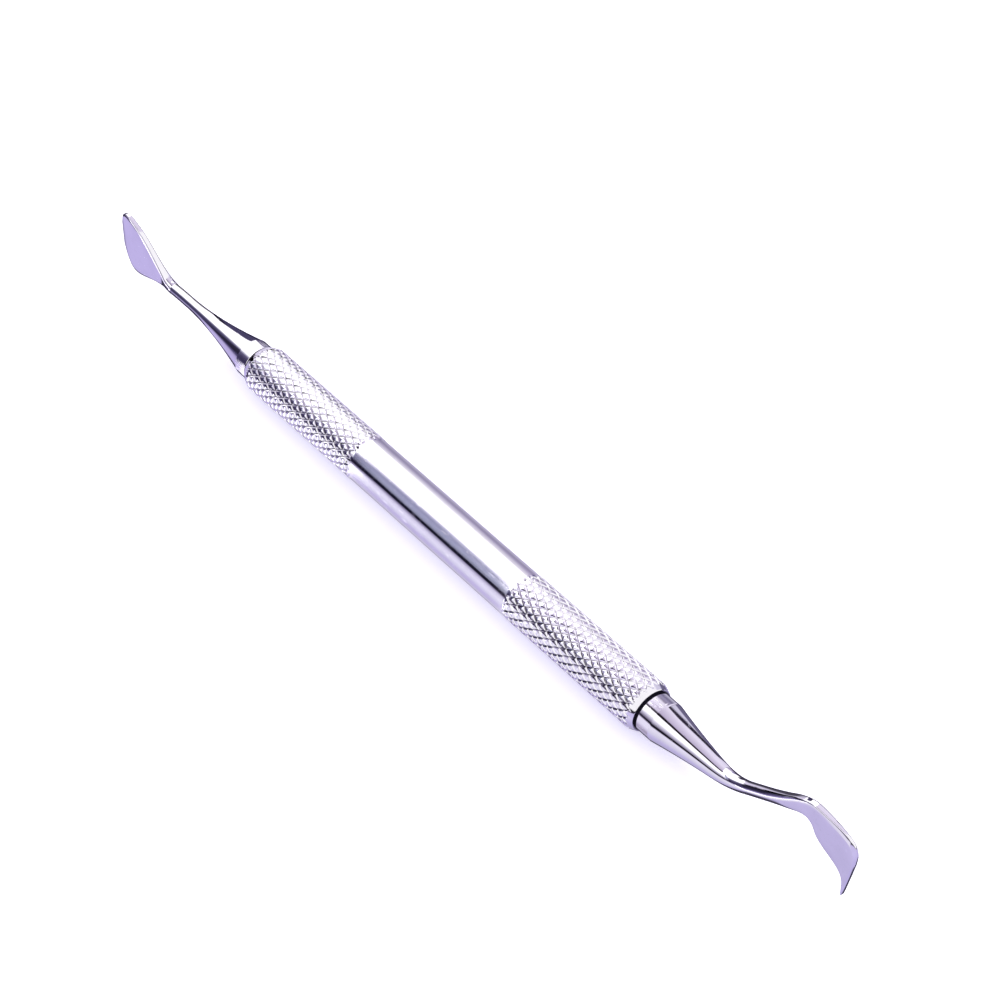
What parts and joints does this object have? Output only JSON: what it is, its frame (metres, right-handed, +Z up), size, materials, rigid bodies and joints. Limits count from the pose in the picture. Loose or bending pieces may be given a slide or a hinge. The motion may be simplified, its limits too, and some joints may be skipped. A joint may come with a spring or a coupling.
{
  "type": "cuticle pusher",
  "caption": "Double-ended steel cuticle pusher: hollow handle with diamond-knurled grips, gooseneck beak-shaped blade at one end, flared hatchet blade at the other.",
  "frame": {"origin": "middle of the handle, on its axis", "axes": "+X along the handle towards the beak-shaped blade, +Z up, away from the surface the handle lies on, with both flat blades in the XZ plane; +Y completes the right-handed frame"},
  "size_m": [0.175, 0.0082, 0.0139],
  "materials": {
    "knurled_handle": "bright polished stainless steel, diamond-knurled grips with a mirror-smooth waist",
    "pusher_steel": "mirror-polished forged stainless steel with fine polishing lines",
    "hatchet_steel": "mirror-polished forged stainless steel with fine polishing lines",
    "bush_steel": "plain turned steel"
  },
  "bodies": {
    "root": {"handle_tube": "knurled_handle", "pusher_tip": "pusher_steel", "hatchet_tip": "hatchet_steel", "pusher_socket_bush": "bush_steel", "hatchet_socket_bush": "bush_steel"}
  },
  "joints": []
}
